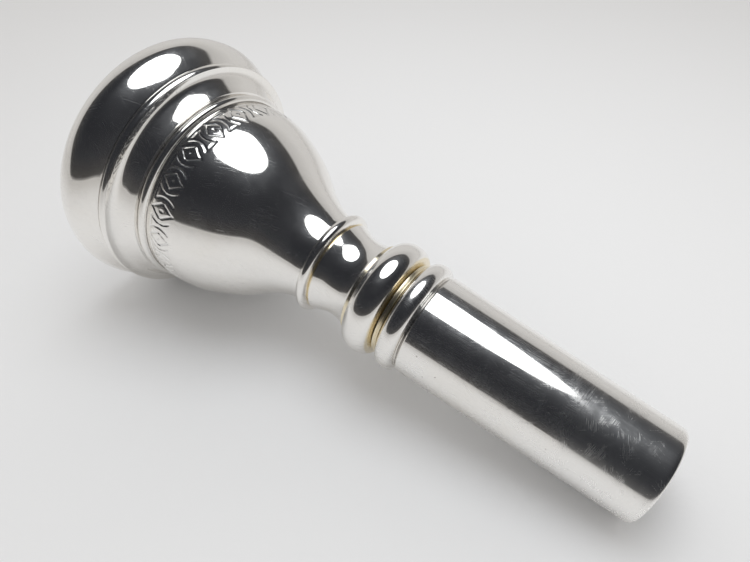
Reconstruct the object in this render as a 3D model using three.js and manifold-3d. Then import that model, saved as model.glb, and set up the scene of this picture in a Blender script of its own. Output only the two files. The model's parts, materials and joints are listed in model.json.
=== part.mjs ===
// A silver-plated brass mouthpiece for trombone or euphonium, in millimetres, +Z up.
// It lies on a table on its rim and on the end of its shank. The rim and the shank
// screw into the cup, each against a thin ring, so that it comes apart for cleaning.
// A profile is a list of [station, radius] pairs. A station is measured along the
// mouthpiece's own axis, from the open end of the shank towards the rim.
import * as THREE from 'three';
import Module from 'manifold-3d';
import { mergeVertices } from 'three/addons/utils/BufferGeometryUtils.js';

const wasm = await Module();
wasm.setup();

// Driving dimensions
const OVERALL_LENGTH = 81.2;
const SIDES = 36; // flat sides that stand in for each round section

const RIM_RADIUS = 19.1;
const RIM_CREST = 76.7; // station of the widest point of the rim
const RIM_BACK = 73.2; // station of the rim's rear face
const BOWL_MOUTH_RADIUS = 12.7;

const SHOULDER = 71.8; // station of the cup's front shoulder
const SEAM_RADIUS = 17.55; // outside radius at the joint behind the rim
const RING_GAP = 0.15; // gap on each side of a seat ring

const THROAT_RADIUS = 3.45;
const STEM_BACK = 35.7; // station of the cup's rear face
const VALLEY_RADIUS = 6.65; // outside radius of the ring between the big beads

const SHANK_TOP = 31.5; // station where the taper starts
const SHANK_FRONT = 34.8; // station of the shank's front face
const SHANK_END_RADIUS = 6.3;
const SHANK_BORE_RADIUS = 5.2;
const SHANK_TAPER = 1 / 20; // on the diameter

// Threads: a ridge of trapezium section, with clearance on every side of it
const RIM_THREAD = {
  pitch: 1.25,
  core: 14.7,
  crest: 15.4,
  footWidth: 0.75,
  crestWidth: 0.25,
  clearance: 0.15,
  start: 74.35,
};
const SHANK_THREAD = {
  pitch: 1,
  core: 4.7,
  crest: 5.2,
  footWidth: 0.6,
  crestWidth: 0.2,
  clearance: 0.12,
  start: 37.3,
};

// Profile helpers

/** Points on a smooth curve through the given [station, radius] pairs. */
function smooth(pairs, divisions) {
  const curve = new THREE.SplineCurve(pairs.map(([s, r]) => new THREE.Vector2(s, r)));
  return curve.getSpacedPoints(divisions).map((p) => [p.x, p.y]);
}

/** Points on a half-round bead between two stations, from the front to the back. */
function bead(front, back, footRadius, crestRadius, divisions) {
  const middle = (front + back) / 2;
  const half = (front - back) / 2;
  const points = [];
  for (let i = 0; i <= divisions; i += 1) {
    const angle = (Math.PI * i) / divisions;
    const radius = footRadius + (crestRadius - footRadius) * Math.sin(angle);
    points.push([middle + half * Math.cos(angle), radius]);
  }
  return points;
}

/** Outside radius of the tapered shank at a station. */
function shankRadius(station) {
  return SHANK_END_RADIUS + (station * SHANK_TAPER) / 2;
}

// Solids

/** A closed solid from a geometry whose faces may point in or out. */
function toSolid(geometry) {
  geometry.deleteAttribute('normal');
  geometry.deleteAttribute('uv');
  const merged = mergeVertices(geometry);
  const position = merged.getAttribute('position').array;
  const index = Uint32Array.from(merged.getIndex().array);
  if (signedVolume(position, index) < 0) {
    index.reverse();
  }
  const mesh = new wasm.Mesh({
    numProp: 3,
    vertProperties: Float32Array.from(position),
    triVerts: index,
  });
  return new wasm.Manifold(mesh);
}

/** Six times the volume that a triangle mesh encloses, negative when inside out. */
function signedVolume(position, index) {
  const a = new THREE.Vector3();
  const b = new THREE.Vector3();
  const c = new THREE.Vector3();
  let total = 0;
  for (let i = 0; i < index.length; i += 3) {
    a.fromArray(position, index[i] * 3);
    b.fromArray(position, index[i + 1] * 3);
    c.fromArray(position, index[i + 2] * 3);
    total += a.dot(b.cross(c));
  }
  return total;
}

/** Turns a closed profile about the axis. A flat side faces straight down. */
function turn(profile) {
  const points = profile.map(([s, r]) => new THREE.Vector2(r, s));
  points.push(points[0].clone());
  return toSolid(new THREE.LatheGeometry(points, SIDES, Math.PI / SIDES));
}

/** The four corners of a thread's section, at one angle round the helix. */
function threadSection(thread, step, grow) {
  const angle = ((step + 0.5) * 2 * Math.PI) / SIDES;
  const station = thread.start + (thread.pitch * step) / SIDES;
  const foot = thread.footWidth / 2 + grow;
  const crest = thread.crestWidth / 2 + grow;
  const root = thread.core - 0.25 + grow;
  const tip = thread.crest + grow;
  const corners = [[root, -foot], [tip, -crest], [tip, crest], [root, foot]];
  return corners.flatMap(([r, along]) => [
    r * Math.sin(angle),
    station + along,
    r * Math.cos(angle),
  ]);
}

/** A right-hand helical ridge between two stations, grown by its clearance to cut a nut. */
function threadRidge(thread, from, to, grow = 0) {
  const first = Math.round(((from - thread.start) / thread.pitch) * SIDES);
  const last = Math.round(((to - thread.start) / thread.pitch) * SIDES);
  const position = [];
  const index = [0, 2, 1, 0, 3, 2];
  for (let step = first; step <= last; step += 1) {
    position.push(...threadSection(thread, step, grow));
  }
  for (let ring = 0; ring < last - first; ring += 1) {
    for (let corner = 0; corner < 4; corner += 1) {
      const a = ring * 4 + corner;
      const b = ring * 4 + ((corner + 1) % 4);
      index.push(a, b, b + 4, a, b + 4, a + 4);
    }
  }
  const end = (last - first) * 4;
  index.push(end, end + 1, end + 2, end, end + 2, end + 3);
  const geometry = new THREE.BufferGeometry();
  geometry.setAttribute('position', new THREE.Float32BufferAttribute(position, 3));
  geometry.setIndex(index);
  return toSolid(geometry);
}

/** A named mesh from a solid. */
function toMesh(name, solid, material) {
  const { vertProperties, triVerts } = solid.getMesh();
  const geometry = new THREE.BufferGeometry();
  geometry.setAttribute('position', new THREE.BufferAttribute(vertProperties, 3));
  geometry.setIndex(new THREE.BufferAttribute(triVerts, 1));
  geometry.computeVertexNormals();
  const mesh = new THREE.Mesh(geometry, material);
  mesh.name = name;
  return mesh;
}

// The rim: a rounded ring with a small flat on its front and a threaded pocket behind

const RIM_OUTLINE = [
  [79.5, BOWL_MOUTH_RADIUS],
  [80.4, 12.95],
  [81, 13.6],
  [OVERALL_LENGTH, 14.5],
  [OVERALL_LENGTH, 15.2],
  [80.9, 16.5],
  [80.2, 17.6],
  [79.2, 18.4],
  [78, 18.9],
  [RIM_CREST, RIM_RADIUS],
  [75.4, 18.95],
  [74.3, 18.5],
  [73.6, 18],
  [RIM_BACK, SEAM_RADIUS],
];

function buildRim() {
  const pocket = [
    [RIM_BACK, 15.65],
    [73.85, 15.65],
    [73.85, RIM_THREAD.core + 0.25],
    [78.3, RIM_THREAD.core + 0.25],
    [78.3, BOWL_MOUTH_RADIUS],
  ];
  const body = turn([...RIM_OUTLINE, ...pocket]);
  const groove = threadRidge(RIM_THREAD, 72.85, 77.7, RIM_THREAD.clearance);
  return body.subtract(groove);
}

// The seat ring behind the rim

function buildRimRing() {
  const front = RIM_BACK - RING_GAP;
  const back = SHOULDER + RING_GAP;
  return turn([
    [front, 15.55],
    [front, SEAM_RADIUS - 0.1],
    [front - 0.1, SEAM_RADIUS],
    [back + 0.1, SEAM_RADIUS],
    [back, SEAM_RADIUS - 0.1],
    [back, 15.55],
  ]);
}

// The cup: bowl, neck and stem in one piece, threaded at both ends

function cupOutside() {
  const tenon = [
    [78.05, BOWL_MOUTH_RADIUS],
    [78.05, 14.5],
    [77.85, RIM_THREAD.core],
    [73.75, RIM_THREAD.core],
    [73.75, RIM_THREAD.crest],
    [SHOULDER, RIM_THREAD.crest],
    [SHOULDER, SEAM_RADIUS - 0.1],
    [71.7, SEAM_RADIUS],
  ];
  const collar = smooth([[71.3, 17.2], [70.3, 15.5], [69.3, 14.3]], 3);
  const fineBead = bead(69.1, 67.9, 14.15, 14.65, 4);
  const bowl = smooth([
    [67.6, 14], [65.5, 14.17], [63.7, 14.05], [61.3, 13.55], [59, 12.5], [56, 10.6],
    [53.6, 8.85], [52, 7.85], [50, 6.98], [48.8, 6.68], [48, 6.6],
  ], 12);
  const neckRing = bead(47.85, 46.4, 6.7, 7.45, 5);
  const neckGroove = [[46.3, 6.4], [46.1, 6.4], [46, 6.6]];
  const waist = smooth([[45.5, 6.45], [44.3, 6], [43, 5.83], [41.8, 5.95], [40.75, 6.25]], 4);
  const collarStep = [[40.6, 6.55], [40.1, 6.55]];
  const bigBead = bead(40.05, STEM_BACK, VALLEY_RADIUS, 8.15, 8);
  return [
    ...tenon, ...collar, ...fineBead, ...bowl, ...neckRing,
    ...neckGroove, ...waist, ...collarStep, ...bigBead,
  ];
}

function cupInside() {
  const pocket = [
    [STEM_BACK, 5.4],
    [36.5, 5.4],
    [36.5, SHANK_THREAD.core + 0.25],
    [40.15, SHANK_THREAD.core + 0.25],
    [40.15, 3.66],
    [45.5, THROAT_RADIUS],
  ];
  const bowl = smooth([
    [49.5, THROAT_RADIUS], [51.2, 4.2], [53.4, 5.6], [56, 7.3], [59, 9.1],
    [62.5, 10.75], [66.5, 11.8], [71, 12.4], [75.5, 12.65],
  ], 8);
  return [...pocket, ...bowl];
}

function buildCup() {
  const body = turn([...cupOutside(), ...cupInside()]);
  const ridge = threadRidge(RIM_THREAD, RIM_THREAD.start, 77.35);
  const groove = threadRidge(SHANK_THREAD, 35.3, 39.75, SHANK_THREAD.clearance);
  return body.add(ridge).subtract(groove);
}

// The bare ring in the valley between the two big beads

function buildJointRing() {
  const front = STEM_BACK - RING_GAP;
  const back = SHANK_FRONT + RING_GAP;
  return turn([
    [front, 5.35],
    [front, VALLEY_RADIUS],
    [(front + back) / 2, VALLEY_RADIUS - 0.12],
    [back, VALLEY_RADIUS],
    [back, 5.35],
  ]);
}

// The shank: second big bead, tapered outside, and a backbore that widens to the end

function buildShank() {
  const outside = [
    [39.9, 3.68],
    [39.9, 4.55],
    [39.75, SHANK_THREAD.core],
    [36.4, SHANK_THREAD.core],
    [36.4, SHANK_THREAD.crest],
    [SHANK_FRONT, SHANK_THREAD.crest],
    ...bead(SHANK_FRONT, 31.95, VALLEY_RADIUS + 0.1, 7.8, 8),
    [31.8, 6.9],
    [31.6, 6.9],
    [SHANK_TOP, shankRadius(SHANK_TOP)],
    [0.4, shankRadius(0.4)],
    [0, SHANK_END_RADIUS - 0.3],
  ];
  const backbore = [
    [0, SHANK_BORE_RADIUS + 0.15],
    [0.3, SHANK_BORE_RADIUS],
    [12, 4.7],
    [26, 4.12],
  ];
  const ridge = threadRidge(SHANK_THREAD, SHANK_THREAD.start, 39.4);
  return turn([...outside, ...backbore]).add(ridge);
}

// Looks

const silverPlate = new THREE.MeshStandardMaterial({
  color: 0xd9d6cf,
  roughness: 0.08,
  metalness: 1,
});
const bareBrass = new THREE.MeshStandardMaterial({
  color: 0xc79a4b,
  roughness: 0.25,
  metalness: 1,
});

// Assembly: the axis leans so that rim and shank end both touch the table

/** Angle that brings the rim and the shank end down to one level. */
function leanAngle() {
  const flat = Math.cos(Math.PI / SIDES);
  const shankEnd = [0.4, shankRadius(0.4)];
  const slopes = RIM_OUTLINE.map(([s, r]) =>
    Math.atan2((r - shankEnd[1]) * flat, s - shankEnd[0]));
  return Math.max(...slopes);
}

const alongAxis = new THREE.Group();
alongAxis.rotation.x = Math.PI / 2;
alongAxis.add(
  toMesh('rim', buildRim(), silverPlate),
  toMesh('rim_ring', buildRimRing(), silverPlate),
  toMesh('cup', buildCup(), silverPlate),
  toMesh('joint_ring', buildJointRing(), bareBrass),
  toMesh('shank', buildShank(), silverPlate),
);

const lying = new THREE.Group();
lying.rotation.y = leanAngle() - Math.PI / 2;
lying.add(alongAxis);

// The origin is on the table, under the middle of the mouthpiece
const mouthpiece = new THREE.Group();
mouthpiece.add(lying);
const extent = new THREE.Box3().setFromObject(mouthpiece, true);
const middle = extent.getCenter(new THREE.Vector3());
lying.position.set(-middle.x, -middle.y, -extent.min.z);

export default mouthpiece;
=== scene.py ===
"""A silver-plated brass mouthpiece for trombone or euphonium, lying on a pale table.

It is turned from five pieces: rim, seat ring, cup, joint ring and shank. Sizes in the
profiles are millimetres along the mouthpiece's own axis, measured from the open end of
the shank, and millimetres out from that axis.
"""

import json
import math

import bmesh
import bpy
import numpy as np
from bpy.props import FloatProperty, FloatVectorProperty, IntProperty, PointerProperty
from bpy.types import Operator, Panel, PropertyGroup
from mathutils import Matrix, Vector


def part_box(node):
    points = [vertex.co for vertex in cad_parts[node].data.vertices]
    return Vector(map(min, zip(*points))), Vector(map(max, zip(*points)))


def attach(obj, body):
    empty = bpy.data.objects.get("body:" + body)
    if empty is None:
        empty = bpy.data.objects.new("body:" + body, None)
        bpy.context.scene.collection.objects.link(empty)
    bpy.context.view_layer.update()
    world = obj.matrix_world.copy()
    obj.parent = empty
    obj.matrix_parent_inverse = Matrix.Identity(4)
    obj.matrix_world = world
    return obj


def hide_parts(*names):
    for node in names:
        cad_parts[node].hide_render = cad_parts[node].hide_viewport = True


bl_info = {
    "name": "Brass Mouthpiece",
    "version": (1, 0, 0),
    "blender": (4, 5, 0),
    "location": "3D View > Sidebar > Mouthpiece",
    "description": "Builds a lying, silver-plated brass mouthpiece from its turned pieces",
    "category": "Object",
}

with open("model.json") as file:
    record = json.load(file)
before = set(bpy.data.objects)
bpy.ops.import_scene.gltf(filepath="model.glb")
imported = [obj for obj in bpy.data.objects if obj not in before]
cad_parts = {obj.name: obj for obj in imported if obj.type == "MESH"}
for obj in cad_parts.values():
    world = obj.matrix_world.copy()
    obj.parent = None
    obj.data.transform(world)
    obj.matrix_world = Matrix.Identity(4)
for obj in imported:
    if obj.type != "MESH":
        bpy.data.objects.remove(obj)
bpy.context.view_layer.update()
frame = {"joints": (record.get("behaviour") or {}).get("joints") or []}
JOINTS = {joint["name"]: joint for joint in frame["joints"]}
MM = 0.001

# The axis of the mouthpiece, from the centre of the shank's open end towards the rim.
SHANK_END = Vector(JOINTS["rim_unscrew"]["pos_m"])
TO_RIM = Vector(JOINTS["rim_unscrew"]["axis"]).normalized()
RIM_HALF_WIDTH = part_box("rim")[1].y
DRAWN_RIM_RADIUS = 19.1
SHANK_END_RADIUS = 6.3
SHANK_LENGTH_PER_RADIUS = 40  # length over which the radius grows by one


# -------- settings


def length_setting(name, description, default, **limits):
    """A length, shown in the units of the scene."""
    return FloatProperty(name=name, description=description, default=default,
                         unit="LENGTH", subtype="DISTANCE", **limits)


def colour_setting(name, description, default):
    """A colour that can be picked."""
    return FloatVectorProperty(name=name, description=description, default=default,
                               subtype="COLOR", min=0.0, max=1.0)


class MouthpieceSizes(PropertyGroup):
    """Sizes that a maker would change."""

    rim_radius: length_setting(
        "Rim radius", "Outside radius of the rim at its widest", RIM_HALF_WIDTH,
        min=0.01, max=0.03,
    )
    rim_pitch: length_setting(
        "Rim thread pitch", "Distance the rim moves for one turn", 0.00125
    )
    shank_pitch: length_setting(
        "Shank thread pitch", "Distance the shank moves for one turn", 0.001
    )
    engraving_depth: length_setting(
        "Engraving depth", "Depth of the cut ornament round the bowl", 0.00009
    )
    engraving_height: length_setting(
        "Engraving height", "Height of the ornament along the axis", 0.0032
    )
    motifs: IntProperty(
        name="Motifs",
        description="Number of cut motifs round the bowl, an even number",
        default=42,
        min=8,
        max=60,
    )
    round_steps: IntProperty(
        name="Round steps",
        description="Faces round each turned piece",
        default=256,
        min=64,
        max=512,
    )


class MouthpieceColours(PropertyGroup):
    """Colours of the metals and the table."""

    silver: colour_setting(
        "Silver plate", "Colour of the polished silver plate", (0.925, 0.905, 0.87)
    )
    tarnish: colour_setting(
        "Tarnish", "Warm tint where the plate has begun to tarnish", (0.83, 0.78, 0.69)
    )
    brass: colour_setting(
        "Brass", "Colour of bare brass at the joint ring", (0.86, 0.77, 0.57)
    )
    table: colour_setting(
        "Table", "Colour of the pale table top", (0.79, 0.80, 0.817)
    )


# -------- profiles


def flowing(points, step=0.25):
    """A curve with no kinks through [station, radius] points, sampled about every step."""
    stops = np.array(points, float)
    gaps = np.linalg.norm(np.diff(stops, axis=0), axis=1)
    along = np.concatenate([[0.0], np.cumsum(gaps)])
    count = len(stops)
    system = np.zeros((count, count))
    right = np.zeros((count, 2))
    system[0, 0] = system[-1, -1] = 1.0
    for i in range(1, count - 1):
        system[i, i - 1] = gaps[i - 1]
        system[i, i] = 2 * (gaps[i - 1] + gaps[i])
        system[i, i + 1] = gaps[i]
        right[i] = 6 * (
            (stops[i + 1] - stops[i]) / gaps[i] - (stops[i] - stops[i - 1]) / gaps[i - 1]
        )
    bend = np.linalg.solve(system, right)
    samples = np.linspace(0, along[-1], max(2, int(round(along[-1] / step)) + 1))
    result = []
    for t in samples:
        i = min(max(int(np.searchsorted(along, t, side="right")) - 1, 0), count - 2)
        h = gaps[i]
        a = (along[i + 1] - t) / h
        b = (t - along[i]) / h
        point = a * stops[i] + b * stops[i + 1]
        point = point + ((a**3 - a) * bend[i] + (b**3 - b) * bend[i + 1]) * h * h / 6
        result.append((float(point[0]), float(point[1])))
    return result


def bead(front, back, foot, crest, steps=18):
    """A half-round bead between two stations, from front to back."""
    middle = (front + back) / 2
    half = (front - back) / 2
    turns = [math.pi * i / steps for i in range(steps + 1)]
    return [
        (middle + half * math.cos(a), foot + (crest - foot) * math.sin(a)) for a in turns
    ]


def shank_radius(station):
    """Outside radius of the shank, which tapers 1 in 20 on the diameter."""
    return SHANK_END_RADIUS + station / SHANK_LENGTH_PER_RADIUS


RIM_PROFILE = (
    flowing(
        [
            (78.4, 12.7), (79.5, 12.72), (80.4, 12.98), (81.0, 13.65), (81.19, 14.85),
            (80.88, 16.55), (80.1, 17.78), (79.1, 18.5), (78.2, 18.82), (77.3, 18.98),
            (76.5, 18.99), (75.7, 18.78), (74.9, 18.42), (74.2, 17.99), (73.65, 17.58),
            (73.3, 17.3),
        ],
        0.22,
    )
    + [(73.22, 17.22), (73.2, 17.12), (73.2, 15.75), (73.28, 15.66), (73.85, 15.64)]
    + [(78.2, 15.58), (78.3, 15.48), (78.3, 12.75)]
)

RIM_RING_PROFILE = [
    (73.07, 15.6), (73.1, 15.66), (73.1, 17.2), (73.05, 17.35), (72.9, 17.47),
    (72.7, 17.54), (72.5, 17.56), (72.3, 17.54), (72.1, 17.47), (71.95, 17.35),
    (71.9, 17.2), (71.9, 15.66), (71.93, 15.6),
]

CUP_FRONT_PROFILE = (
    [(77.9, 12.71), (78.02, 12.8), (78.05, 12.95), (78.05, 14.4), (77.85, 14.68)]
    + [(73.75, 14.7), (73.72, 15.36), (73.68, 15.4), (71.85, 15.4), (71.8, 15.45)]
    + [(71.8, 17.4), (71.77, 17.49), (71.7, 17.53), (71.62, 17.46), (71.6, 17.3)]
    + flowing([(71.58, 16.8), (71.35, 16.32), (70.85, 15.86), (70.25, 15.45), (69.72, 15.15),
               (69.28, 14.9)], 0.12)
    + [(69.18, 14.5), (69.12, 14.32)]
    + bead(69.08, 67.92, 14.3, 14.8, 14)
    + [(67.86, 14.2), (67.8, 14.12)]
)

BOWL_CURVE = [
    (67.75, 14.1), (66.0, 14.28), (64.2, 14.12), (62.2, 13.68), (60.4, 13.02),
    (58.2, 12.0), (56.0, 10.68), (53.6, 8.92), (52.0, 7.9), (50.0, 7.0), (48.8, 6.68),
    (48.05, 6.58),
]

CUP_BACK_PROFILE = (
    [(47.95, 6.55), (47.88, 6.68)]
    + bead(47.85, 46.42, 6.72, 7.47, 12)
    + [(46.36, 6.6), (46.3, 6.38), (46.12, 6.36), (46.04, 6.5)]
    + flowing([(46.0, 6.62), (45.3, 6.36), (44.2, 5.97), (43.0, 5.83), (41.9, 5.94),
               (40.75, 6.28)])
    + [(40.66, 6.34), (40.64, 6.5), (40.58, 6.56), (40.16, 6.56), (40.1, 6.5), (40.07, 6.62)]
    + bead(40.04, 35.74, 6.66, 8.17, 24)
    + [(35.7, 6.58), (35.7, 5.45), (35.75, 5.4), (36.5, 5.38), (36.52, 5.34)]
    + [(40.1, 5.32), (40.15, 5.27), (40.15, 3.66)]
)

CUP_BORE_PROFILE = flowing(
    [(40.15, 3.66), (43.0, 3.54), (45.5, 3.46), (48.0, 3.45), (49.5, 3.47)], 0.6
)[1:] + flowing(
    [(49.8, 3.52), (51.2, 4.15), (53.4, 5.6), (56.0, 7.35), (59.0, 9.1), (62.5, 10.72),
     (66.5, 11.8), (71.0, 12.4), (75.5, 12.65), (77.8, 12.7)],
    0.55,
)

JOINT_RING_PROFILE = [
    (35.52, 5.36), (35.58, 5.4), (35.58, 6.55), (35.54, 6.62), (35.45, 6.62),
    (35.25, 6.56), (35.05, 6.62), (34.96, 6.62), (34.92, 6.55), (34.92, 5.4),
    (34.98, 5.36),
]

SHANK_PROFILE = (
    [(39.9, 3.74), (39.9, 4.5), (39.78, 4.66), (39.7, 4.7), (36.4, 4.7), (36.38, 5.16)]
    + [(36.34, 5.2), (34.85, 5.2), (34.8, 5.25), (34.8, 6.6)]
    + bead(34.77, 31.97, 6.74, 7.82, 24)
    + [(31.9, 6.76), (31.82, 6.66), (31.68, 6.66), (31.6, 6.8), (31.54, 6.98)]
    + [(31.4, shank_radius(31.4))]
    + [(s, shank_radius(s)) for s in (28, 24, 20, 16, 12, 8, 4, 1.2, 0.7)]
    + [(0.45, 6.29), (0.24, 6.24), (0.09, 6.14), (0.01, 5.98), (0.0, 5.8)]
    + [(0.0, 5.5), (0.04, 5.38), (0.15, 5.27), (0.4, 5.2)]
    + flowing([(0.6, 5.19), (6, 4.95), (12, 4.7), (20, 4.36), (26, 4.12), (33, 3.9),
               (39.7, 3.69)], 1.2)
)

# Radii of a thread, widths of its ridge and the stations between which it runs.
RIM_THREAD = {
    "core": 14.7, "crest": 15.4, "foot": 0.75, "tip": 0.25, "clearance": 0.15,
    "start": 74.35, "male_end": 77.35, "female_start": 73.9, "female_end": 77.9,
}
SHANK_THREAD = {
    "core": 4.7, "crest": 5.2, "foot": 0.6, "tip": 0.2, "clearance": 0.12,
    "start": 37.3, "male_end": 39.4, "female_start": 36.6, "female_end": 39.9,
}
THREAD_TURN_AT_X = 85 / 360  # how far round the helix has come where it crosses local X
THREAD_STEPS = 96  # steps in one turn of a thread

ENGRAVING_STATION = 65.45
ENGRAVED_RADIUS = 14.2  # radius of the bowl at the ornament
BAND_MARGIN = 0.5  # finely turned metal on each side of the ornament
STROKE_MARGIN = 0.25  # how far a stroke may reach past the ornament's height
BAND_FINENESS = 4  # steps round the engraved band for one step of the bowl

SPUN_SECTORS = 16  # equal sectors of a turned piece
SAME_POINT = 0.000001  # points nearer than this are merged, in metres
SAME_SEAM_POINT = 0.000004
SHARP_EDGE = math.radians(32)

BRASSY = (0.86, 0.76, 0.55)  # thin plate over brass
SEAM_SHADE = (0.34, 0.31, 0.27)  # painted shade in a seam or crease between pieces and beads
FRESH_CUT = (0.86, 0.85, 0.83)  # the floor of the engraving
NICKED = (0.25, 0.22, 0.18)  # the floor of a nick
BROWNED_BRASS = (0.68, 0.52, 0.3)
POLISH_DEPTH = 0.00001  # height of the lines that the wheel leaves, in metres


# -------- turning


def turning_frame():
    """Places local Z along the axis towards the rim, and local X square to it and up."""
    up = (Vector((0, 0, 1)) - TO_RIM * TO_RIM.z).normalized()
    side = TO_RIM.cross(up)
    turn = Matrix((up, side, TO_RIM)).transposed().to_4x4()
    return Matrix.Translation(SHANK_END) @ turn


def spin_round(bm, profile, scale, closed, steps):
    """Turns a profile once about the axis: one sector is spun, then copied round."""
    verts = [bm.verts.new((-r * scale * MM, 0, s * MM)) for s, r in profile]
    pairs = list(zip(verts, verts[1:]))
    if closed:
        pairs.append((verts[-1], verts[0]))
    geometry = verts + [bm.edges.new(pair) for pair in pairs]
    sector = 2 * math.pi / SPUN_SECTORS
    about_axis = {"cent": (0, 0, 0), "axis": (0, 0, 1), "dvec": (0, 0, 0)}
    before = set(bm.verts) - set(verts)
    bmesh.ops.spin(
        bm, geom=geometry, angle=sector, steps=steps // SPUN_SECTORS, **about_axis
    )
    fresh = [v for v in bm.verts if v not in before]
    faces = {f for v in fresh for f in v.link_faces}
    edges = {e for v in fresh for e in v.link_edges}
    bmesh.ops.spin(
        bm,
        geom=fresh + list(edges) + list(faces),
        angle=2 * math.pi - sector,
        steps=SPUN_SECTORS - 1,
        use_duplicate=True,
        **about_axis,
    )
    turned = [v for v in bm.verts if v not in before]
    bmesh.ops.remove_doubles(bm, verts=turned, dist=SAME_POINT)


def turn_piece(context, profile, closed=True):
    """A new piece turned from a profile, with the sizes and the scale of its radii."""
    sizes = context.scene.mouthpiece_sizes
    scale = sizes.rim_radius / (DRAWN_RIM_RADIUS * MM)
    bm = bmesh.new()
    spin_round(bm, profile, scale, closed, sizes.round_steps)
    return bm, sizes, scale


def add_helix(bm, section, first_station, pitch, turns, scale, fade):
    """Sweeps a closed section round and along the axis, and fades it out at both ends.

    The section is a list of [along, radius] corners. They all come to the radius fade
    at the two ends.
    """
    steps = int(round(turns * THREAD_STEPS))
    thread = bmesh.new()
    verts = [
        thread.verts.new((r * scale * MM, 0, (first_station + along) * MM))
        for along, r in section
    ]
    edges = [
        thread.edges.new((verts[i], verts[(i + 1) % len(verts)])) for i in range(len(verts))
    ]
    result = bmesh.ops.spin(
        thread,
        geom=verts + edges,
        cent=(0, 0, 0),
        axis=(0, 0, 1),
        dvec=(0, 0, pitch * MM / THREAD_STEPS),
        angle=2 * math.pi * steps / THREAD_STEPS,
        steps=steps,
    )
    last = [e for e in result["geom_last"] if isinstance(e, bmesh.types.BMEdge)]
    bmesh.ops.contextual_create(thread, geom=edges)
    bmesh.ops.contextual_create(thread, geom=last)
    lowest = min(v.co.z for v in thread.verts)
    highest = max(v.co.z for v in thread.verts)
    run_out = 0.3 * pitch * MM
    for vert in thread.verts:
        near = min(vert.co.z - lowest, highest - vert.co.z)
        keep = min(1.0, near / run_out)
        radius = math.hypot(vert.co.x, vert.co.y)
        move_out(vert, fade * scale * MM + (radius - fade * scale * MM) * keep)
    join_in(bm, thread)


def move_out(vert, wanted):
    """Moves a vertex square to the axis, to a wanted distance from it."""
    radius = math.hypot(vert.co.x, vert.co.y)
    vert.co.x *= wanted / radius
    vert.co.y *= wanted / radius


def join_in(bm, part):
    """Adds a separately made shape to a piece."""
    mesh = bpy.data.meshes.new("part")
    part.to_mesh(mesh)
    part.free()
    bm.from_mesh(mesh)
    bpy.data.meshes.remove(mesh)


def add_male_thread(bm, thread, pitch, scale):
    """Adds the ridge of an outside thread, rooted in its core."""
    core, crest = thread["core"], thread["crest"]
    root = core - 0.12
    faded = core - 0.1
    half_foot = thread["foot"] / 2
    half_tip = thread["tip"] / 2
    rounding = 0.04
    section = [
        (-half_foot, root), (-half_foot, core),
        (-half_tip - rounding, crest - rounding), (-half_tip, crest),
        (half_tip, crest), (half_tip + rounding, crest - rounding),
        (half_foot, core), (half_foot, root),
    ]
    first = thread["start"] + pitch * THREAD_TURN_AT_X
    turns = (thread["male_end"] - first) / pitch
    add_helix(bm, section, first, pitch, turns, scale, faded)


def add_female_thread(bm, thread, pitch, scale):
    """Adds the land of an inside thread, rooted in the wall of its bore."""
    clearance = thread["clearance"]
    wall = thread["crest"] + clearance
    root = wall + 0.15
    faded = wall + 0.1
    land = thread["core"] + 0.25
    half_tip = (pitch - thread["foot"]) / 2 - clearance
    half_foot = (pitch - thread["tip"]) / 2 - clearance
    section = [
        (-half_foot, root), (-half_foot, wall), (-half_tip, land),
        (half_tip, land), (half_foot, wall), (half_foot, root),
    ]
    middle = thread["start"] + pitch * (THREAD_TURN_AT_X + 0.5)
    turns_back = math.floor((middle - thread["female_start"]) / pitch)
    first = middle - turns_back * pitch
    turns = (thread["female_end"] - first) / pitch
    add_helix(bm, section, first, pitch, turns, scale, faded)


def finish_piece(bm, name, node, body, material):
    """Makes the finished object where it lies, hangs it on its body and hides its CAD node.
    """
    bmesh.ops.recalc_face_normals(bm, faces=bm.faces[:])
    bm.transform(turning_frame())
    mesh = bpy.data.meshes.new(name)
    bm.to_mesh(mesh)
    bm.free()
    mesh.shade_smooth()
    mesh.set_sharp_from_angle(angle=SHARP_EDGE)
    mesh.materials.append(material)
    piece = bpy.data.objects.new(name, mesh)
    bpy.context.scene.collection.objects.link(piece)
    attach(piece, body)
    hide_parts(node)


# -------- engraving


def stroke(distance, half_width):
    """1 in the middle of a cut stroke, falling smoothly to 0 at its edge."""
    t = min(1.0, max(0.0, distance / half_width))
    return 1 - t * t * (3 - 2 * t)


def distance_to_line(x, y, start, end):
    """Distance from a point to a straight stroke."""
    ax, ay = start
    bx, by = end
    dx, dy = bx - ax, by - ay
    t = ((x - ax) * dx + (y - ay) * dy) / (dx * dx + dy * dy)
    t = min(1.0, max(0.0, t))
    return math.hypot(x - ax - t * dx, y - ay - t * dy)


def lozenge_cut(x, y, half_height):
    """A lozenge with thick and thin sides and a dot at its centre."""
    half_width = 0.6888 * half_height
    thin, thick, dot = 0.15, 0.25, 0.3
    cut = stroke(math.hypot(x, y), dot)
    for end, side, width in ((1, -1, thin), (-1, 1, thin), (1, 1, thick), (-1, -1, thick)):
        away = distance_to_line(x, y, (0, end * half_height), (side * half_width, 0))
        cut = max(cut, stroke(away, width))
    return cut


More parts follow.
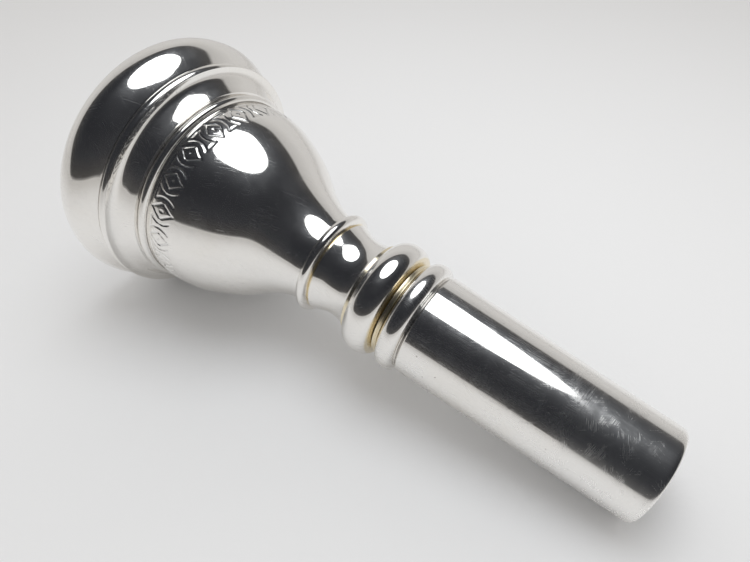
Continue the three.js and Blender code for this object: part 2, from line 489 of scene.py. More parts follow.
def hourglass_cut(x, y, half_height):
    """Two curved strokes back to back, with a small bar at top and bottom."""
    reach = half_height * 0.94
    sweep = 1.36 * half_height
    centre = sweep + 0.2 * half_height
    thin, thick, bar_width, overhang = 0.15, 0.24, 0.12, 0.2
    cut = 0.0
    for side, width in ((-1, thick), (1, thin)):
        away = abs(math.hypot(x - side * centre, y) - sweep)
        if abs(y) <= reach and (x * side) < centre:
            cut = max(cut, stroke(away, width))
    edge = centre - math.sqrt(max(0.0, sweep * sweep - reach * reach))
    for end in (-1, 1):
        left, right = (-edge - overhang, end * reach), (edge + overhang, end * reach)
        cut = max(cut, stroke(distance_to_line(x, y, left, right), bar_width))
    return cut


def engraving_cut(angle, along, motifs, half_height, radius):
    """How deeply the ornament is cut at one place on the bowl, from 0 to 1."""
    place = (angle / (2 * math.pi)) % 1.0 * motifs
    number = int(place)
    x = (place - number - 0.5) * 2 * math.pi * radius / motifs
    if number % 2:
        return hourglass_cut(x, along, half_height)
    return lozenge_cut(x, along, half_height)


# -------- shader groups

VALUE = "NodeSocketFloat"
VECTOR = "NodeSocketVector"
COLOUR = "NodeSocketColor"


def new_group(name, inputs, outputs):
    """A shader node group, with the sockets that it is given and those that it fills."""
    group = bpy.data.node_groups.new(name, "ShaderNodeTree")
    for socket, kind, default in inputs:
        made = group.interface.new_socket(socket, in_out="INPUT", socket_type=kind)
        made.default_value = default
    for socket, kind in outputs:
        group.interface.new_socket(socket, in_out="OUTPUT", socket_type=kind)
    start = group.nodes.new("NodeGroupInput")
    start.location = (-1200, 0)
    end = group.nodes.new("NodeGroupOutput")
    end.location = (900, 0)
    return group, start.outputs, end.inputs


def node(tree, kind, place, **settings):
    """Adds a node with its settings."""
    made = tree.nodes.new(kind)
    made.location = place
    for name, value in settings.items():
        setattr(made, name, value)
    return made


def feed(tree, target, value):
    """Links another node's output to a socket, or sets a plain value on it."""
    if isinstance(value, bpy.types.NodeSocket):
        tree.links.new(value, target)
    else:
        target.default_value = value


def maths(tree, operation, place, *values, clamp=False):
    """A Math node on one or two links or plain numbers."""
    made = node(tree, "ShaderNodeMath", place, operation=operation, use_clamp=clamp)
    for target, value in zip(made.inputs, values):
        feed(tree, target, value)
    return made.outputs[0]


def times(tree, place, first, second, clamp=False):
    """The product of two links or plain numbers."""
    return maths(tree, "MULTIPLY", place, first, second, clamp=clamp)


def fade_range(tree, place, value, low, high, to_low=0.0, to_high=1.0):
    """Maps a value smoothly from one range to another and stops at the ends."""
    made = node(tree, "ShaderNodeMapRange", place, interpolation_type="SMOOTHSTEP")
    tree.links.new(value, made.inputs["Value"])
    for i, number in enumerate((low, high, to_low, to_high), start=1):
        made.inputs[i].default_value = number
    return made.outputs["Result"]


def noise(tree, place, vector, scale, detail=3.0, roughness=0.55):
    """Noise on a vector, as a value from about 0 to 1."""
    made = node(tree, "ShaderNodeTexNoise", place)
    tree.links.new(vector, made.inputs["Vector"])
    made.inputs["Scale"].default_value = scale
    made.inputs["Detail"].default_value = detail
    made.inputs["Roughness"].default_value = roughness
    return made.outputs["Fac"]


def combine(tree, place, x, y, z):
    """A vector from three links or numbers."""
    made = node(tree, "ShaderNodeCombineXYZ", place)
    for target, value in zip(made.inputs, (x, y, z)):
        feed(tree, target, value)
    return made.outputs[0]


def build_lathe_coordinates():
    """Station in mm, angle as a share of a turn, from coordinates lined up with the axis."""
    group, given, filled = new_group(
        "Lathe Coordinates",
        [("Vector", VECTOR, (0, 0, 0))],
        [("Station", VALUE), ("Turn", VALUE), ("Around", VALUE)],
    )
    split = node(group, "ShaderNodeSeparateXYZ", (-900, 0))
    group.links.new(given["Vector"], split.inputs[0])
    station = times(group, (-600, 200), split.outputs["Z"], 1000.0)
    angle = maths(group, "ARCTAN2", (-600, 0), split.outputs["Y"], split.outputs["X"])
    turn = maths(group, "DIVIDE", (-400, 0), angle, 2 * math.pi)
    x_squared = times(group, (-600, -200), split.outputs["X"], split.outputs["X"])
    y_squared = times(group, (-600, -350), split.outputs["Y"], split.outputs["Y"])
    squares = maths(group, "ADD", (-400, -200), x_squared, y_squared)
    metres = maths(group, "SQRT", (-250, -200), squares)
    radius = times(group, (-100, -200), metres, 1000.0)
    around = times(group, (100, -100), angle, radius)
    group.links.new(station, filled["Station"])
    group.links.new(turn, filled["Turn"])
    group.links.new(around, filled["Around"])
    return group


def build_polishing_lines():
    """Fine lines left round a turned piece by the polishing wheel."""
    group, given, filled = new_group(
        "Polishing Lines",
        [("Station", VALUE, 0.0), ("Turn", VALUE, 0.0), ("Lines per mm", VALUE, 6.0),
         ("Seed", VALUE, 0.0)],
        [("Lines", VALUE), ("Broken", VALUE)],
    )
    across = times(group, (-900, 100), given["Station"], given["Lines per mm"])
    along = times(group, (-900, -100), given["Turn"], 5.0)
    vector = combine(group, (-700, 0), along, across, given["Seed"])
    lines = noise(group, (-450, 100), vector, 1.0, 4.0, 0.7)
    wide_along = times(group, (-900, -250), given["Turn"], 9.0)
    wide_across = times(group, (-900, -400), given["Station"], 0.25)
    wide = combine(group, (-700, -200), wide_along, wide_across, given["Seed"])
    patches = noise(group, (-450, -150), wide, 1.0, 2.0)
    broken = times(group, (100, -100),
                   fade_range(group, (-150, 100), lines, 0.5, 0.78),
                   fade_range(group, (-150, -150), patches, 0.42, 0.66))
    group.links.new(lines, filled["Lines"])
    group.links.new(broken, filled["Broken"])
    return group


def build_scratches():
    """Thin straight scratches in one direction over a turned surface, in patches."""
    group, given, filled = new_group(
        "Straight Scratches",
        [("Around", VALUE, 0.0), ("Station", VALUE, 0.0), ("Lean", VALUE, 0.0),
         ("Length", VALUE, 3.0), ("Width", VALUE, 0.06), ("Amount", VALUE, 0.5),
         ("Seed", VALUE, 0.0)],
        [("Scratch", VALUE)],
    )
    flat = combine(group, (-1000, 100), given["Around"], given["Station"], 0.0)
    turned = node(group, "ShaderNodeVectorRotate", (-800, 100), rotation_type="Z_AXIS")
    group.links.new(flat, turned.inputs["Vector"])
    group.links.new(given["Lean"], turned.inputs["Angle"])
    split = node(group, "ShaderNodeSeparateXYZ", (-600, 100))
    group.links.new(turned.outputs[0], split.inputs[0])
    along = maths(group, "DIVIDE", (-400, 200), split.outputs["X"], given["Length"])
    across = maths(group, "DIVIDE", (-400, 50), split.outputs["Y"], given["Width"])
    drawn_out = combine(group, (-200, 100), along, across, given["Seed"])
    streaks = noise(group, (-50, 100), drawn_out, 1.0, 1.0, 0.4)
    least = maths(group, "SUBTRACT", (-50, -150), 0.8,
                  times(group, (-200, -150), given["Amount"], 0.2))
    over = maths(group, "SUBTRACT", (150, 0), streaks, least)
    sharp = times(group, (300, 0), over, 14.0, clamp=True)
    even = combine(group, (-200, -350), given["Around"], given["Station"], given["Seed"])
    patches = noise(group, (-50, -350), even, 0.45, 2.0)
    where = fade_range(group, (200, -300), patches, 0.4, 0.62)
    cut = times(group, (500, 0), sharp, where)
    group.links.new(cut, filled["Scratch"])
    return group


def build_plate_tone():
    """Colour and haze of plate: clean metal with faint warm patches and smears."""
    group, given, filled = new_group(
        "Plate Tone",
        [("Vector", VECTOR, (0, 0, 0)), ("Silver", COLOUR, (0.9, 0.9, 0.9, 1)),
         ("Tarnish", COLOUR, (0.8, 0.75, 0.65, 1)), ("Strength", VALUE, 0.3),
         ("Seed", VALUE, 0.0)],
        [("Color", COLOUR), ("Haze", VALUE)],
    )
    shifted = node(group, "ShaderNodeVectorMath", (-950, 0), operation="ADD")
    group.links.new(given["Vector"], shifted.inputs[0])
    group.links.new(combine(group, (-1100, -150), given["Seed"], 0.0, 0.0),
                    shifted.inputs[1])
    clouds = noise(group, (-700, 100), shifted.outputs[0], 90.0, 4.0, 0.6)
    smears = noise(group, (-700, -150), shifted.outputs[0], 260.0, 5.0, 0.65)
    patch = fade_range(group, (-450, 100), clouds, 0.45, 0.75)
    amount = times(group, (-200, 100), patch, given["Strength"])
    mix = node(group, "ShaderNodeMix", (100, 100), data_type="RGBA")
    group.links.new(amount, mix.inputs["Factor"])
    group.links.new(given["Silver"], mix.inputs["A"])
    group.links.new(given["Tarnish"], mix.inputs["B"])
    haze = times(group, (100, -150),
                 fade_range(group, (-450, -150), smears, 0.4, 0.75),
                 fade_range(group, (-450, -350), clouds, 0.3, 0.7, 0.35, 1.0))
    group.links.new(mix.outputs["Result"], filled["Color"])
    group.links.new(haze, filled["Haze"])
    return group


def build_groove_tint():
    """1 in a narrow groove at one station, broken up a little along its length."""
    group, given, filled = new_group(
        "Groove Tint",
        [("Station", VALUE, 0.0), ("Turn", VALUE, 0.0), ("Centre", VALUE, 0.0),
         ("Half Width", VALUE, 0.2), ("Seed", VALUE, 0.0)],
        [("Mask", VALUE)],
    )
    along = maths(group, "SUBTRACT", (-900, 0), given["Station"], given["Centre"])
    away = maths(group, "ABSOLUTE", (-750, 0), along)
    around = times(group, (-1200, -250), given["Turn"], 30.0)
    place = combine(group, (-1050, -250), around, given["Station"], given["Seed"])
    wobble = noise(group, (-900, -250), place, 1.0, 4.0, 0.7)
    reach = fade_range(group, (-750, -250), wobble, 0.25, 0.75, 0.8, 1.2)
    limit = times(group, (-600, -200), given["Half Width"], reach)
    share = maths(group, "DIVIDE", (-450, 0), away, limit)
    mask = fade_range(group, (-250, 0), share, 0.55, 1.15, 1.0, 0.0)
    group.links.new(mask, filled["Mask"])
    return group


def shader_group(name):
    """The named shader group, built the first time it is asked for."""
    builders = {
        "Lathe Coordinates": build_lathe_coordinates,
        "Polishing Lines": build_polishing_lines,
        "Straight Scratches": build_scratches,
        "Plate Tone": build_plate_tone,
        "Groove Tint": build_groove_tint,
    }
    return bpy.data.node_groups.get(name) or builders[name]()


def place_group(tree, name, place, **values):
    """Places a shader group in a material, with its links and values by socket name."""
    made = node(tree, "ShaderNodeGroup", place, node_tree=shader_group(name))
    made.width = 200
    for socket, value in values.items():
        feed(tree, made.inputs[socket.replace("_", " ")], value)
    return made


# -------- materials


def blank_material(name):
    """A material with a Principled shader and nothing else."""
    material = bpy.data.materials.new(name)
    material.use_nodes = True
    tree = material.node_tree
    tree.nodes.clear()
    output = node(tree, "ShaderNodeOutputMaterial", (1300, 0))
    shader = node(tree, "ShaderNodeBsdfPrincipled", (950, 0))
    tree.links.new(shader.outputs[0], output.inputs[0])
    return material, tree, shader


def axis_coordinates(tree):
    """Object coordinates turned so that Z runs along the mouthpiece from the shank's end."""
    source = node(tree, "ShaderNodeTexCoord", (-1600, 0))
    turn = turning_frame()
    mapping = node(tree, "ShaderNodeMapping", (-1400, 0), vector_type="TEXTURE")
    mapping.inputs["Location"].default_value = turn.translation
    mapping.inputs["Rotation"].default_value = turn.to_euler("XYZ")
    tree.links.new(source.outputs["Object"], mapping.inputs["Vector"])
    return mapping.outputs[0]


def blend_values(tree, place, factor, first, second):
    """Mixes two values, each a link or a plain number."""
    mix = node(tree, "ShaderNodeMix", place, data_type="FLOAT")
    for socket, value in (("Factor", factor), ("A", first), ("B", second)):
        feed(tree, mix.inputs[socket], value)
    return mix.outputs["Result"]


def blend_colours(tree, place, factor, first, second):
    """Mixes two colours, each a link or a plain red, green and blue."""
    mix = node(tree, "ShaderNodeMix", place, data_type="RGBA")
    tree.links.new(factor, mix.inputs["Factor"])
    for socket, value in (("A", first), ("B", second)):
        plain = isinstance(value, tuple)
        feed(tree, mix.inputs[socket], (*value, 1) if plain else value)
    return mix.outputs["Result"]


def add_share(tree, place, value, amount, share):
    """Adds a share of an amount to a value."""
    x, y = place
    part = times(tree, (x - 150, y - 120), amount, share)
    return maths(tree, "ADD", place, value, part)


def bump(tree, place, height, distance):
    """A Bump node on a height in the range 0 to 1, with a distance in metres."""
    made = node(tree, "ShaderNodeBump", place)
    made.inputs["Distance"].default_value = distance
    tree.links.new(height, made.inputs["Height"])
    return made.outputs["Normal"]


def silver_plate(name, seed, tarnish=0.25, polish=0.05, haze=0.45, scuffed=False,
                 grooves=(), engraved=False):
    """Polished silver plate with wheel lines, scratches and tinted grooves; a dark groove
    tint is painted shade in a seam.

    Haze is the weight of a film of fine wear, which is a rough coat over the metal. A
    groove is its station, its half width and its colour.
    """
    colours = bpy.context.scene.mouthpiece_colours
    material, tree, shader = blank_material(name)
    vector = axis_coordinates(tree)
    lathe = place_group(tree, "Lathe Coordinates", (-1150, 0), Vector=vector)
    station, turn, around = (lathe.outputs[n] for n in ("Station", "Turn", "Around"))
    tone = place_group(tree, "Plate Tone", (-850, 400), Vector=vector, Seed=seed,
                       Silver=(*colours.silver, 1), Tarnish=(*colours.tarnish, 1),
                       Strength=tarnish)
    lines = place_group(tree, "Polishing Lines", (-850, 100), Station=station, Turn=turn,
                        Lines_per_mm=7.0, Seed=seed)
    fine = place_group(tree, "Straight Scratches", (-850, -150), Around=around,
                       Station=station, Lean=0.9, Length=5.0, Width=0.09, Amount=0.95,
                       Seed=seed + 3.0)
    other = place_group(tree, "Straight Scratches", (-850, -450), Around=around,
                        Station=station, Lean=-1.2, Length=4.0, Width=0.09, Amount=0.9,
                        Seed=seed + 8.0)
    scratches = maths(tree, "MAXIMUM", (-550, -250), fine.outputs[0], other.outputs[0])
    colour = tone.outputs["Color"]
    rough = add_share(tree, (-350, 100), polish, tone.outputs["Haze"], 0.02)
    rough = add_share(tree, (-150, 100), rough, lines.outputs["Broken"], 0.03)
    rough = add_share(tree, (0, 100), rough, scratches, 0.14)
    film = times(tree, (0, 550), haze,
                 maths(tree, "ADD", (-350, 700), tone.outputs["Haze"], 0.7))
    film = maths(tree, "MAXIMUM", (150, 550), film,
                 times(tree, (0, 700), scratches, 0.8))
    height = times(tree, (-150, -350), lines.outputs["Lines"], 0.1)
    if scuffed:
        rough, height, colour, film = add_scuffs(
            tree, station, around, seed, rough, height, colour, film)
    # A dark groove colour is painted shade in a seam or crease; a brassy one is tarnish in a
    # hollow.
    for i, (centre, half_width, tint_colour) in enumerate(grooves):
        tint = place_group(tree, "Groove Tint", (-850, -800 - 250 * i), Station=station,
                           Turn=turn, Centre=centre, Half_Width=half_width,
                           Seed=seed + 20.0 + i)
        colour = blend_colours(tree, (350 + 120 * i, 400), tint.outputs["Mask"], colour,
                               tint_colour)
        rough = add_share(tree, (350 + 120 * i, 150), rough, tint.outputs["Mask"], 0.12)
    if engraved:
        cut = node(tree, "ShaderNodeAttribute", (-350, 700), attribute_name="engraved")
        rough = blend_values(tree, (700, 150), cut.outputs["Fac"], rough, 0.36)
        colour = blend_colours(tree, (700, 400), cut.outputs["Fac"], colour, FRESH_CUT)
    tree.links.new(colour, shader.inputs["Base Color"])
    tree.links.new(rough, shader.inputs["Roughness"])
    tree.links.new(bump(tree, (700, -300), height, POLISH_DEPTH), shader.inputs["Normal"])
    tree.links.new(film, shader.inputs["Coat Weight"])
    shader.inputs["Coat Roughness"].default_value = 0.36
    shader.inputs["Coat IOR"].default_value = 3.4
    shader.inputs["Metallic"].default_value = 1.0
    return material


def add_scuffs(tree, station, around, seed, rough, height, colour, film):
    """Wear that the receiver leaves on the end of the shank: a film, marks and nicks."""
    worn = fade_range(tree, (-150, -700), station, 22.0, 7.0)
    flat = combine(tree, (-350, -700), around, station, seed)
    patches = fade_range(tree, (-150, -900), noise(tree, (-350, -900), flat, 0.35, 3.0),
                         0.42, 0.6)
    where = times(tree, (50, -800), worn, patches)
    cross = place_group(tree, "Straight Scratches", (-350, -1150), Around=around,
                        Station=station, Lean=0.12, Length=2.2, Width=0.1, Amount=1.75,
                        Seed=seed + 31.0)
    skew = place_group(tree, "Straight Scratches", (-350, -1450), Around=around,
                       Station=station, Lean=-0.5, Length=1.6, Width=0.1, Amount=1.5,
                       Seed=seed + 37.0)
    long_marks = place_group(tree, "Straight Scratches", (-350, -1750), Around=around,
                             Station=station, Lean=1.5, Length=12.0, Width=0.09,
                             Amount=1.45, Seed=seed + 41.0)
    marks = maths(tree, "MAXIMUM", (-50, -1200), cross.outputs[0], skew.outputs[0])
    marks = times(tree, (100, -1000), marks, where)
    marks = maths(tree, "MAXIMUM", (250, -1100), marks,
                  times(tree, (50, -1700), long_marks.outputs[0], 0.5))
    spots = node(tree, "ShaderNodeTexVoronoi", (-350, -2050))
    tree.links.new(flat, spots.inputs["Vector"])
    spots.inputs["Scale"].default_value = 0.9
    nick = fade_range(tree, (-150, -2050), spots.outputs["Distance"], 0.1, 0.05)
    chosen = fade_range(tree, (-150, -2250),
                        noise(tree, (-350, -2250), flat, 0.6, 1.0), 0.57, 0.62)
    nick = times(tree, (50, -2100), nick, chosen)
    rough = add_share(tree, (250, 100), rough, marks, 0.24)
    rough = add_share(tree, (400, 100), rough, where, 0.04)
    film = maths(tree, "MAXIMUM", (250, 700), film,
                 times(tree, (100, 700), worn, 0.9))
    film = maths(tree, "ADD", (400, 700), film, marks, clamp=True)
    height = maths(tree, "SUBTRACT", (550, -350), height,
                   times(tree, (400, -550), nick, 0.4))
    colour = blend_colours(tree, (200, 400), nick, colour, NICKED)
    return rough, height, colour, film


def bare_brass(name):
    """Turned brass that was never plated: fine tool lines and a little tarnish."""
    colours = bpy.context.scene.mouthpiece_colours
    material, tree, shader = blank_material(name)
    vector = axis_coordinates(tree)
    lathe = place_group(tree, "Lathe Coordinates", (-1150, 0), Vector=vector)
    station, turn = lathe.outputs["Station"], lathe.outputs["Turn"]
    lines = place_group(tree, "Polishing Lines", (-850, 0), Station=station, Turn=turn,
                        Lines_per_mm=14.0, Seed=5.0)
    tone = place_group(tree, "Plate Tone", (-850, 300), Vector=vector, Seed=2.0,
                       Silver=(*colours.brass, 1), Tarnish=(*BROWNED_BRASS, 1),
                       Strength=0.3)
    rough = add_share(tree, (-300, 0), 0.16, lines.outputs["Lines"], 0.22)
    tree.links.new(tone.outputs["Color"], shader.inputs["Base Color"])
    tree.links.new(rough, shader.inputs["Roughness"])
    tool_marks = bump(tree, (600, -300), lines.outputs["Lines"], POLISH_DEPTH)
    tree.links.new(tool_marks, shader.inputs["Normal"])
    shader.inputs["Metallic"].default_value = 1.0
    return material


def table_top(name):
    """A pale matt table top with the faintest grain."""
    colours = bpy.context.scene.mouthpiece_colours
    material, tree, shader = blank_material(name)
    source = node(tree, "ShaderNodeTexCoord", (-900, 0))
    clouds = noise(tree, (-650, 100), source.outputs["Object"], 6.0, 3.0)
    specks = noise(tree, (-650, -150), source.outputs["Object"], 900.0, 2.0)
    shade = tuple(0.965 * c for c in colours.table)
    colour = blend_colours(tree, (-300, 100), clouds, shade, tuple(colours.table))
    tree.links.new(colour, shader.inputs["Base Color"])
    tree.links.new(bump(tree, (-300, -200), specks, 0.00002), shader.inputs["Normal"])
    shader.inputs["Roughness"].default_value = 0.62
    shader.inputs["Specular IOR Level"].default_value = 0.25
    return material


# -------- operators

LAMP_PLACE = Vector((0.007, 0.031, 0.2))
LAMP_TARGET = Vector((0, 0, 0.01))
CAMERA_PLACE = Vector((0.03371, -0.04439, 0.06693))
CAMERA_FORWARD = Vector((-0.42527, 0.58522, -0.69041))

# Parts of the wall: where the nodes go, the way to face, between which shares of facing
# it the top rises, and by how much.
WALL_TOPS = (
    (-250, (-0.53, 0.848, 0), -0.4, 0.9, 0.58),
    (-450, (-0.829, 0.559, 0), 0.45, 0.8, 0.2),
)

# Colours of the room from below the top of its wall to straight above.
ROOM_COLOURS = (
    (0.0, (0.62, 0.61, 0.60)), (0.37, (0.5, 0.49, 0.48)), (0.43, (0.045, 0.042, 0.04)),
    (0.7, (0.03, 0.031, 0.035)), (1.0, (0.022, 0.023, 0.027)),
)


class MOUTHPIECE_OT_stage(Operator):
    """Lays the table, hangs the lights and sets the camera"""

    bl_idname = "mouthpiece.stage"
    bl_label = "Stage"

    def execute(self, context):
        self.lay_table(context)
        self.light_studio(context)
        self.paint_room(context)
        self.set_camera(context)
        return {"FINISHED"}

    def lay_table(self, context):
        bm = bmesh.new()
        bmesh.ops.create_grid(bm, x_segments=2, y_segments=2, size=3.0)
        mesh = bpy.data.meshes.new("table_top")
        bm.to_mesh(mesh)
        bm.free()
        mesh.materials.append(table_top("Pale Table"))
        table = bpy.data.objects.new("table_top", mesh)
        context.scene.collection.objects.link(table)

    def light_studio(self, context):
        """One round soft lamp and an even fill that polished metal doesn't mirror."""
        soft = bpy.data.lights.new("soft_lamp", "AREA")
        soft.shape = "DISK"
        soft.size = 0.152
        soft.energy = 0.155
        soft.color = (0.94, 0.97, 1.0)
        lamp = bpy.data.objects.new("soft_lamp", soft)
        lamp.location = LAMP_PLACE
        lamp.rotation_euler = (LAMP_TARGET - LAMP_PLACE).to_track_quat("-Z", "Y").to_euler()
        fill = bpy.data.lights.new("room_fill", "SUN")
        fill.angle = math.radians(150)
        fill.energy = 2.05
        fill.color = (1.0, 0.965, 0.915)
        holder = bpy.data.objects.new("room_fill", fill)
        holder.visible_glossy = False
        context.scene.collection.objects.link(lamp)
        context.scene.collection.objects.link(holder)
        context.scene.view_settings.view_transform = "Standard"

    def paint_room(self, context):
        """The room that the polished metal mirrors: dark above, paler low on the far side."""
        world = bpy.data.worlds.new("Dim Studio")
        context.scene.world = world
        world.use_nodes = True
        tree = world.node_tree
        tree.nodes.clear()
        source = node(tree, "ShaderNodeTexCoord", (-1100, 0))
        split = node(tree, "ShaderNodeSeparateXYZ", (-900, 0))
        tree.links.new(source.outputs["Generated"], split.inputs[0])
        heights = []
        for y, direction, low, high, height in WALL_TOPS:
            facing = node(tree, "ShaderNodeVectorMath", (-900, y), operation="DOT_PRODUCT")
            tree.links.new(source.outputs["Generated"], facing.inputs[0])
            facing.inputs[1].default_value = direction
            heights.append(fade_range(tree, (-650, y), facing.outputs["Value"], low, high,
                                      0.0, height))
        wall_top = maths(tree, "ADD", (-550, -150), *heights)
        above = maths(tree, "SUBTRACT", (-450, 0), split.outputs["Z"], wall_top)
        ramp = node(tree, "ShaderNodeValToRGB", (-250, 0))
        tree.links.new(maths(tree, "ADD", (-350, 150), above, 0.4), ramp.inputs["Fac"])
        while len(ramp.color_ramp.elements) < len(ROOM_COLOURS):
            ramp.color_ramp.elements.new(0.5)
        for element, (place, colour) in zip(ramp.color_ramp.elements, ROOM_COLOURS):
            element.position = place
            element.color = (*colour, 1)
        light = node(tree, "ShaderNodeBackground", (0, 0))
        output = node(tree, "ShaderNodeOutputWorld", (200, 0))
        tree.links.new(ramp.outputs["Color"], light.inputs["Color"])
        tree.links.new(light.outputs[0], output.inputs[0])

    def set_camera(self, context):
        forward = CAMERA_FORWARD.normalized()
        right = forward.cross(Vector((0, 0, 1))).normalized()
        up = right.cross(forward)
        camera = bpy.data.cameras.new("camera")
        camera.sensor_fit = "HORIZONTAL"
        camera.sensor_width = 36
        camera.lens = 27.575
        camera.clip_start = 0.002
        camera.clip_end = 20
        holder = bpy.data.objects.new("camera", camera)
        turn = Matrix((right, up, -forward)).transposed().to_4x4()
        holder.matrix_world = Matrix.Translation(CAMERA_PLACE) @ turn
        context.scene.collection.objects.link(holder)
        context.scene.camera = holder


class MOUTHPIECE_OT_rim(Operator):
    """Turns the rounded rim with its threaded pocket"""

    bl_idname = "mouthpiece.rim"
    bl_label = "Rim"

    def execute(self, context):
        bm, sizes, scale = turn_piece(context, RIM_PROFILE)
        add_female_thread(bm, RIM_THREAD, sizes.rim_pitch / MM, scale)
        # The dark groove at the back of the rim is painted shade in its seam with the seat
        # ring.
        material = silver_plate("Silver Plate, Rim", 1.0, tarnish=0.2,
                                grooves=((73.22, 0.07, SEAM_SHADE),))
        finish_piece(bm, "rim_turned", "rim", "rim", material)
        return {"FINISHED"}


class MOUTHPIECE_OT_rim_ring(Operator):
    """Turns the thin seat ring behind the rim"""

    bl_idname = "mouthpiece.rim_ring"
    bl_label = "Rim Seat Ring"

    def execute(self, context):
        bm = turn_piece(context, RIM_RING_PROFILE)[0]
        # The dark grooves on both faces of the seat ring are painted shade in its seams.
        material = silver_plate("Silver Plate, Seat Ring", 11.0, tarnish=0.5, polish=0.09,
                                grooves=((73.12, 0.07, SEAM_SHADE), (71.88, 0.07, SEAM_SHADE)))
        finish_piece(bm, "rim_ring_turned", "rim_ring", "rim_ring",
                     material)
        return {"FINISHED"}


class MOUTHPIECE_OT_cup(Operator):
    """Turns the cup, cuts its threads and engraves the ornament round the bowl"""

    bl_idname = "mouthpiece.cup"
    bl_label = "Cup"

    def execute(self, context):
        bowl = flowing(BOWL_CURVE, 0.15)
        half = context.scene.mouthpiece_sizes.engraving_height / MM / 2 + BAND_MARGIN
        first = next(i for i, p in enumerate(bowl) if p[0] < ENGRAVING_STATION + half)
        last = next(i for i, p in enumerate(bowl) if p[0] < ENGRAVING_STATION - half)
        before, band, after = bowl[: first + 1], bowl[first : last + 1], bowl[last:]
        front = CUP_FRONT_PROFILE + before[:: max(1, len(before) - 1)]
        back = after[::3] + ([after[-1]] if (len(after) - 1) % 3 else []) + CUP_BACK_PROFILE
        profile = back + CUP_BORE_PROFILE + front
        bm, sizes, scale = turn_piece(context, profile, closed=False)
        self.engrave(bm, band, scale, sizes)
        add_male_thread(bm, RIM_THREAD, sizes.rim_pitch / MM, scale)
        add_female_thread(bm, SHANK_THREAD, sizes.shank_pitch / MM, scale)
        # The brassy grooves are tarnish in the hollows; the dark ones are painted shade in
        # the seams and at the feet of the beads.
        material = silver_plate(
            "Silver Plate, Cup", 4.0, engraved=True,
            grooves=((46.2, 0.2, BRASSY), (40.3, 0.35, BRASSY), (35.8, 0.3, BRASSY),
                     (71.8, 0.07, SEAM_SHADE), (69.14, 0.06, SEAM_SHADE), (67.84, 0.06, SEAM_SHADE),
                     (47.93, 0.1, SEAM_SHADE)),
        )
        finish_piece(bm, "cup_turned", "cup", "cup", material)
        return {"FINISHED"}

    def engrave(self, bm, band, scale, sizes):
        """Spins the band finely, cuts the ornament and joins it to the coarser bowl."""
        rims = [e for e in bm.edges if e.is_boundary]
        bmesh.ops.subdivide_edges(bm, edges=rims, cuts=BAND_FINENESS - 1)
        for vert in bm.verts:
            if vert.is_boundary:
                end = min(band[0], band[-1], key=lambda p: abs(p[0] * MM - vert.co.z))
                move_out(vert, end[1] * scale * MM)
        strip = bmesh.new()
        spin_round(strip, band, scale, False, sizes.round_steps * BAND_FINENESS)
        cut_layer = strip.verts.layers.float.new("engraved")
        half = sizes.engraving_height / MM / 2
        for vert in strip.verts:
            along = vert.co.z / MM - ENGRAVING_STATION
            if abs(along) > half + STROKE_MARGIN:
                continue
            angle = math.atan2(vert.co.y, vert.co.x)
            cut = engraving_cut(angle, along, sizes.motifs, half, ENGRAVED_RADIUS * scale)
            if cut <= 0:
                continue
            radius = math.hypot(vert.co.x, vert.co.y)
            move_out(vert, radius - cut * sizes.engraving_depth)
            vert[cut_layer] = cut
        join_in(bm, strip)
        seam = [v for v in bm.verts if v.is_boundary]
        bmesh.ops.remove_doubles(bm, verts=seam, dist=SAME_SEAM_POINT)
        open_edges = sum(1 for e in bm.edges if e.is_boundary)
        if open_edges:
            raise RuntimeError(f"the engraved band left {open_edges} open edges on the cup")


class MOUTHPIECE_OT_joint_ring(Operator):
    """Turns the bare brass ring between the two big beads"""

    bl_idname = "mouthpiece.joint_ring"
    bl_label = "Joint Ring"

    def execute(self, context):
        bm = turn_piece(context, JOINT_RING_PROFILE)[0]
        finish_piece(bm, "joint_ring_turned", "joint_ring", "joint_ring",
                     bare_brass("Bare Brass"))
        return {"FINISHED"}


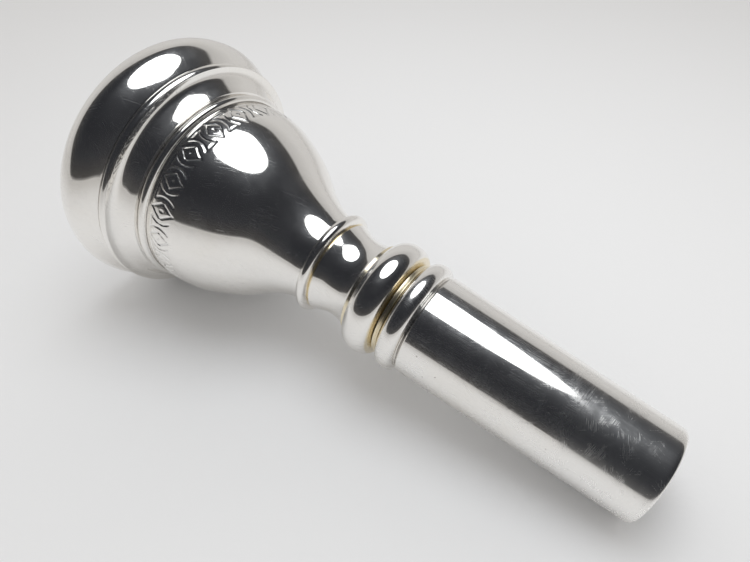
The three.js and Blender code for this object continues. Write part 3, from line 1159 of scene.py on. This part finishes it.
class MOUTHPIECE_OT_shank(Operator):
    """Turns the shank with its bead, taper, backbore and thread"""

    bl_idname = "mouthpiece.shank"
    bl_label = "Shank"

    def execute(self, context):
        bm, sizes, scale = turn_piece(context, SHANK_PROFILE)
        add_male_thread(bm, SHANK_THREAD, sizes.shank_pitch / MM, scale)
        # The brassy groove is tarnish in a hollow; the dark one is painted shade in the
        # crease behind the bead.
        material = silver_plate("Silver Plate, Shank", 7.0, tarnish=0.35, polish=0.055,
                                haze=0.6, scuffed=True,
                                grooves=((34.8, 0.3, BRASSY), (31.75, 0.14, SEAM_SHADE)))
        finish_piece(bm, "shank_turned", "shank", "shank", material)
        return {"FINISHED"}


PIECE_OPERATORS = (
    MOUTHPIECE_OT_stage,
    MOUTHPIECE_OT_rim,
    MOUTHPIECE_OT_rim_ring,
    MOUTHPIECE_OT_cup,
    MOUTHPIECE_OT_joint_ring,
    MOUTHPIECE_OT_shank,
)


class MOUTHPIECE_PT_workshop(Panel):
    """The pieces of the mouthpiece and their settings"""

    bl_label = "Mouthpiece"
    bl_space_type = "VIEW_3D"
    bl_region_type = "UI"
    bl_category = "Mouthpiece"

    def draw(self, context):
        for settings in (context.scene.mouthpiece_sizes, context.scene.mouthpiece_colours):
            for name in settings.bl_rna.properties.keys():
                if name not in ("rna_type", "name"):
                    self.layout.prop(settings, name)
        for operator in PIECE_OPERATORS:
            self.layout.operator(operator.bl_idname)


CLASSES = (MouthpieceSizes, MouthpieceColours, *PIECE_OPERATORS, MOUTHPIECE_PT_workshop)


def register():
    """Registers the classes and their settings on the scene."""
    for cls in CLASSES:
        bpy.utils.register_class(cls)
    bpy.types.Scene.mouthpiece_sizes = PointerProperty(type=MouthpieceSizes)
    bpy.types.Scene.mouthpiece_colours = PointerProperty(type=MouthpieceColours)


def unregister():
    """Removes the settings and the classes."""
    del bpy.types.Scene.mouthpiece_colours
    del bpy.types.Scene.mouthpiece_sizes
    for cls in reversed(CLASSES):
        bpy.utils.unregister_class(cls)


def main():
    """Builds the stage and every piece."""
    register()
    bpy.ops.mouthpiece.stage()
    bpy.ops.mouthpiece.rim()
    bpy.ops.mouthpiece.rim_ring()
    bpy.ops.mouthpiece.cup()
    bpy.ops.mouthpiece.joint_ring()
    bpy.ops.mouthpiece.shank()


if __name__ == "__main__":
    main()
